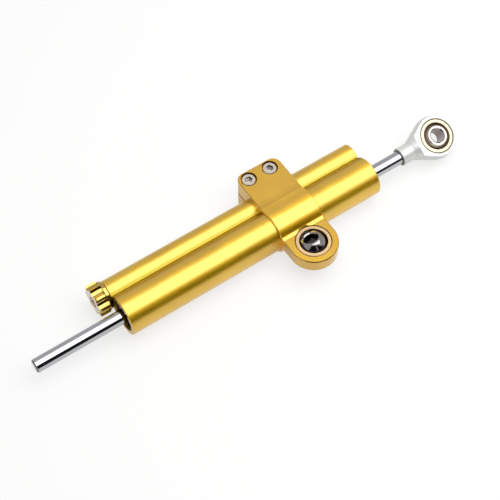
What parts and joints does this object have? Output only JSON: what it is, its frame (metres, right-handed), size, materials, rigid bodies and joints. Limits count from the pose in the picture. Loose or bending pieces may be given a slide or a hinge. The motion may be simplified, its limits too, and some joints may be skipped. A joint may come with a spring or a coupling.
{
  "type": "motorcycle steering damper",
  "caption": "Linear steering damper with a through rod, fluted adjuster knob, split clamp bracket with a swivel bearing, and a swivel rod end.",
  "frame": {"origin": "centre of the swivel ball in the clamp bracket's lug", "axes": "+X along the rod towards the rod end, +Y from the lug towards the adjuster tube, +Z out of the lug's upper face"},
  "size_m": [0.2796, 0.0712, 0.0263],
  "materials": {
    "gold_anodised": "gold anodised, satin",
    "chromed_rod": "hard chrome, polished",
    "polished_steel": "polished bearing steel",
    "satin_aluminium": "turned, satin",
    "race_brass": "pale yellow, turned",
    "zinc_steel": "zinc plated",
    "plain_aluminium": "turned",
    "spring_steel": "phosphated",
    "black_rubber": "matt",
    "cream_ptfe": "matt",
    "bronze": "turned"
  },
  "bodies": {
    "barrel": {"body_tubes": "gold_anodised", "left_gland": "plain_aluminium", "right_gland": "plain_aluminium", "gland_o_rings": "black_rubber", "rod_seals": "black_rubber", "rod_wipers": "black_rubber", "guide_bushes": "bronze", "gland_circlips": "spring_steel", "adjuster_plug": "plain_aluminium", "adjuster_plug_o_ring": "black_rubber", "spindle_o_ring": "black_rubber", "needle_guide_pin": "polished_steel", "valve_seat": "bronze", "end_plug": "gold_anodised", "end_plug_o_ring": "black_rubber"},
    "knob": {"adjuster_knob": "gold_anodised", "valve_spindle": "polished_steel", "knob_screw": "zinc_steel", "detent_ball": "polished_steel", "detent_spring": "zinc_steel"},
    "needle": {"metering_needle": "polished_steel", "needle_o_ring": "black_rubber"},
    "piston_ring": {"piston_ring": "cream_ptfe"},
    "rod": {"piston_rod": "chromed_rod", "piston": "plain_aluminium", "piston_clips": "spring_steel", "piston_ring_o_ring": "black_rubber", "rod_end_housing": "satin_aluminium", "rod_end_race": "race_brass"},
    "rod_end_ball": {"rod_end_ball": "polished_steel"},
    "bracket": {"clamp_bracket": "gold_anodised", "clamp_bolts": "zinc_steel", "bracket_race": "race_brass"},
    "bracket_ball": {"bracket_ball": "polished_steel"}
  },
  "joints": [
    {"name": "rod_travel", "type": "slide", "parent": "barrel", "child": "piston_ring", "axis": [1, 0, 0], "range_m": [-0.02, 0.05]},
    {"name": "rod_spin", "type": "hinge", "parent": "piston_ring", "child": "rod", "pos_m": [0, 0.02192, -0.00225], "axis": [1, 0, 0], "continuous": true},
    {"name": "adjuster_turn", "type": "hinge", "parent": "barrel", "child": "knob", "pos_m": [0, 0.03842, -0.00225], "axis": [1, 0, 0], "range_deg": [-150, 150]},
    {"name": "needle_travel", "type": "slide", "parent": "barrel", "child": "needle", "axis": [1, 0, 0], "range_m": [-0.000416, 0.000416]},
    {"name": "rod_end_swivel", "type": "hinge", "parent": "rod", "child": "rod_end_ball", "pos_m": [0.10265, 0.02192, -0.00225], "axis": [0, 0.8846, 0.4664], "range_deg": [-13, 13]},
    {"name": "bracket_slide", "type": "slide", "parent": "barrel", "child": "bracket", "axis": [1, 0, 0], "range_m": [-0.09, 0.038]},
    {"name": "bracket_swivel", "type": "hinge", "parent": "bracket", "child": "bracket_ball", "pos_m": [0, 0, 0], "axis": [-0.9703, -0.2419, 0], "range_deg": [-48, 1]}
  ],
  "couplings": [
    {"joint": "adjuster_turn", "follows": "needle_travel", "rad_per_m": 6283.2}
  ]
}
